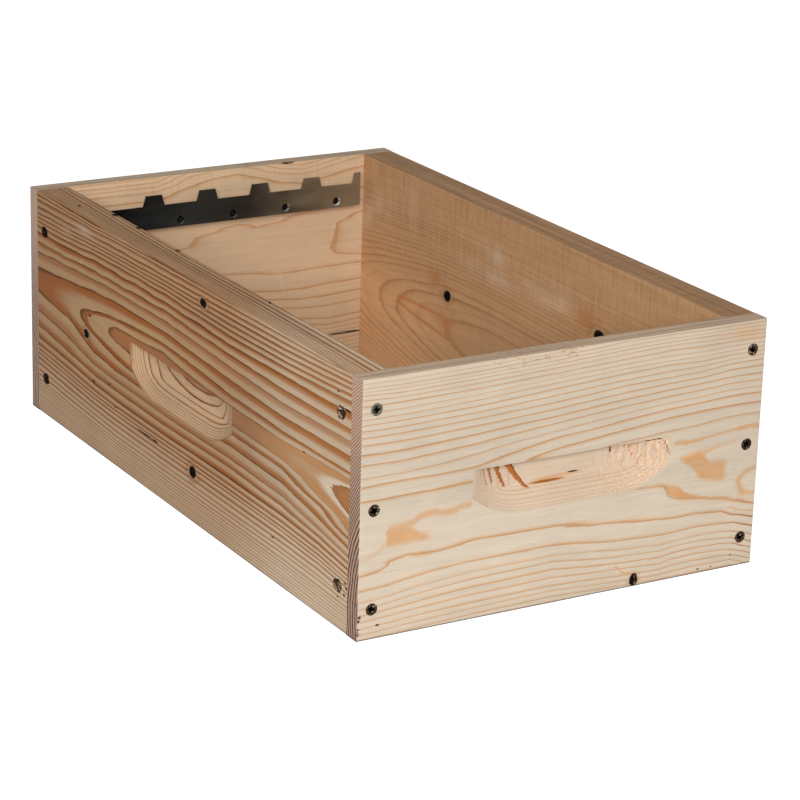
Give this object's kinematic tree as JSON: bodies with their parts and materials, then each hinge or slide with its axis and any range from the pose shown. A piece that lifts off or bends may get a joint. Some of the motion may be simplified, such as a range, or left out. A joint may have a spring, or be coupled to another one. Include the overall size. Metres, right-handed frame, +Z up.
{
  "type": "beehive super",
  "caption": "Open wooden beehive super with screwed corners, routed hand-holds and toothed steel frame spacers, stacked on a hive to hold honey frames.",
  "frame": {"origin": "centre of the bottom rim's rectangle, on the surface that the box stands on", "axes": "+X to the right across the front, +Y from front to back along the frames, +Z up"},
  "size_m": [0.3, 0.5, 0.17],
  "materials": {
    "pine": "planed, untreated",
    "spacer_steel": "smooth sheet",
    "nail_steel": "bright",
    "screw_bronze": "bronzed"
  },
  "bodies": {
    "root": {"front_wall": "pine", "back_wall": "pine", "left_wall": "pine", "right_wall": "pine", "front_frame_rest": "pine", "front_frame_spacer": "spacer_steel", "front_spacer_nail_1": "nail_steel", "front_spacer_nail_2": "nail_steel", "front_spacer_nail_3": "nail_steel", "front_spacer_nail_4": "nail_steel", "front_spacer_nail_5": "nail_steel", "front_left_screw_top": "screw_bronze", "front_left_screw_middle": "screw_bronze", "front_left_screw_bottom": "screw_bronze", "left_front_screw_top": "screw_bronze", "left_front_screw_bottom": "screw_bronze", "front_right_screw_top": "screw_bronze", "front_right_screw_middle": "screw_bronze", "front_right_screw_bottom": "screw_bronze", "right_front_screw_top": "screw_bronze", "right_front_screw_bottom": "screw_bronze", "back_frame_rest": "pine", "back_frame_spacer": "spacer_steel", "back_spacer_nail_1": "nail_steel", "back_spacer_nail_2": "nail_steel", "back_spacer_nail_3": "nail_steel", "back_spacer_nail_4": "nail_steel", "back_spacer_nail_5": "nail_steel", "back_left_screw_top": "screw_bronze", "back_left_screw_middle": "screw_bronze", "back_left_screw_bottom": "screw_bronze", "left_back_screw_top": "screw_bronze", "left_back_screw_bottom": "screw_bronze", "back_right_screw_top": "screw_bronze", "back_right_screw_middle": "screw_bronze", "back_right_screw_bottom": "screw_bronze", "right_back_screw_top": "screw_bronze", "right_back_screw_bottom": "screw_bronze"}
  },
  "joints": []
}
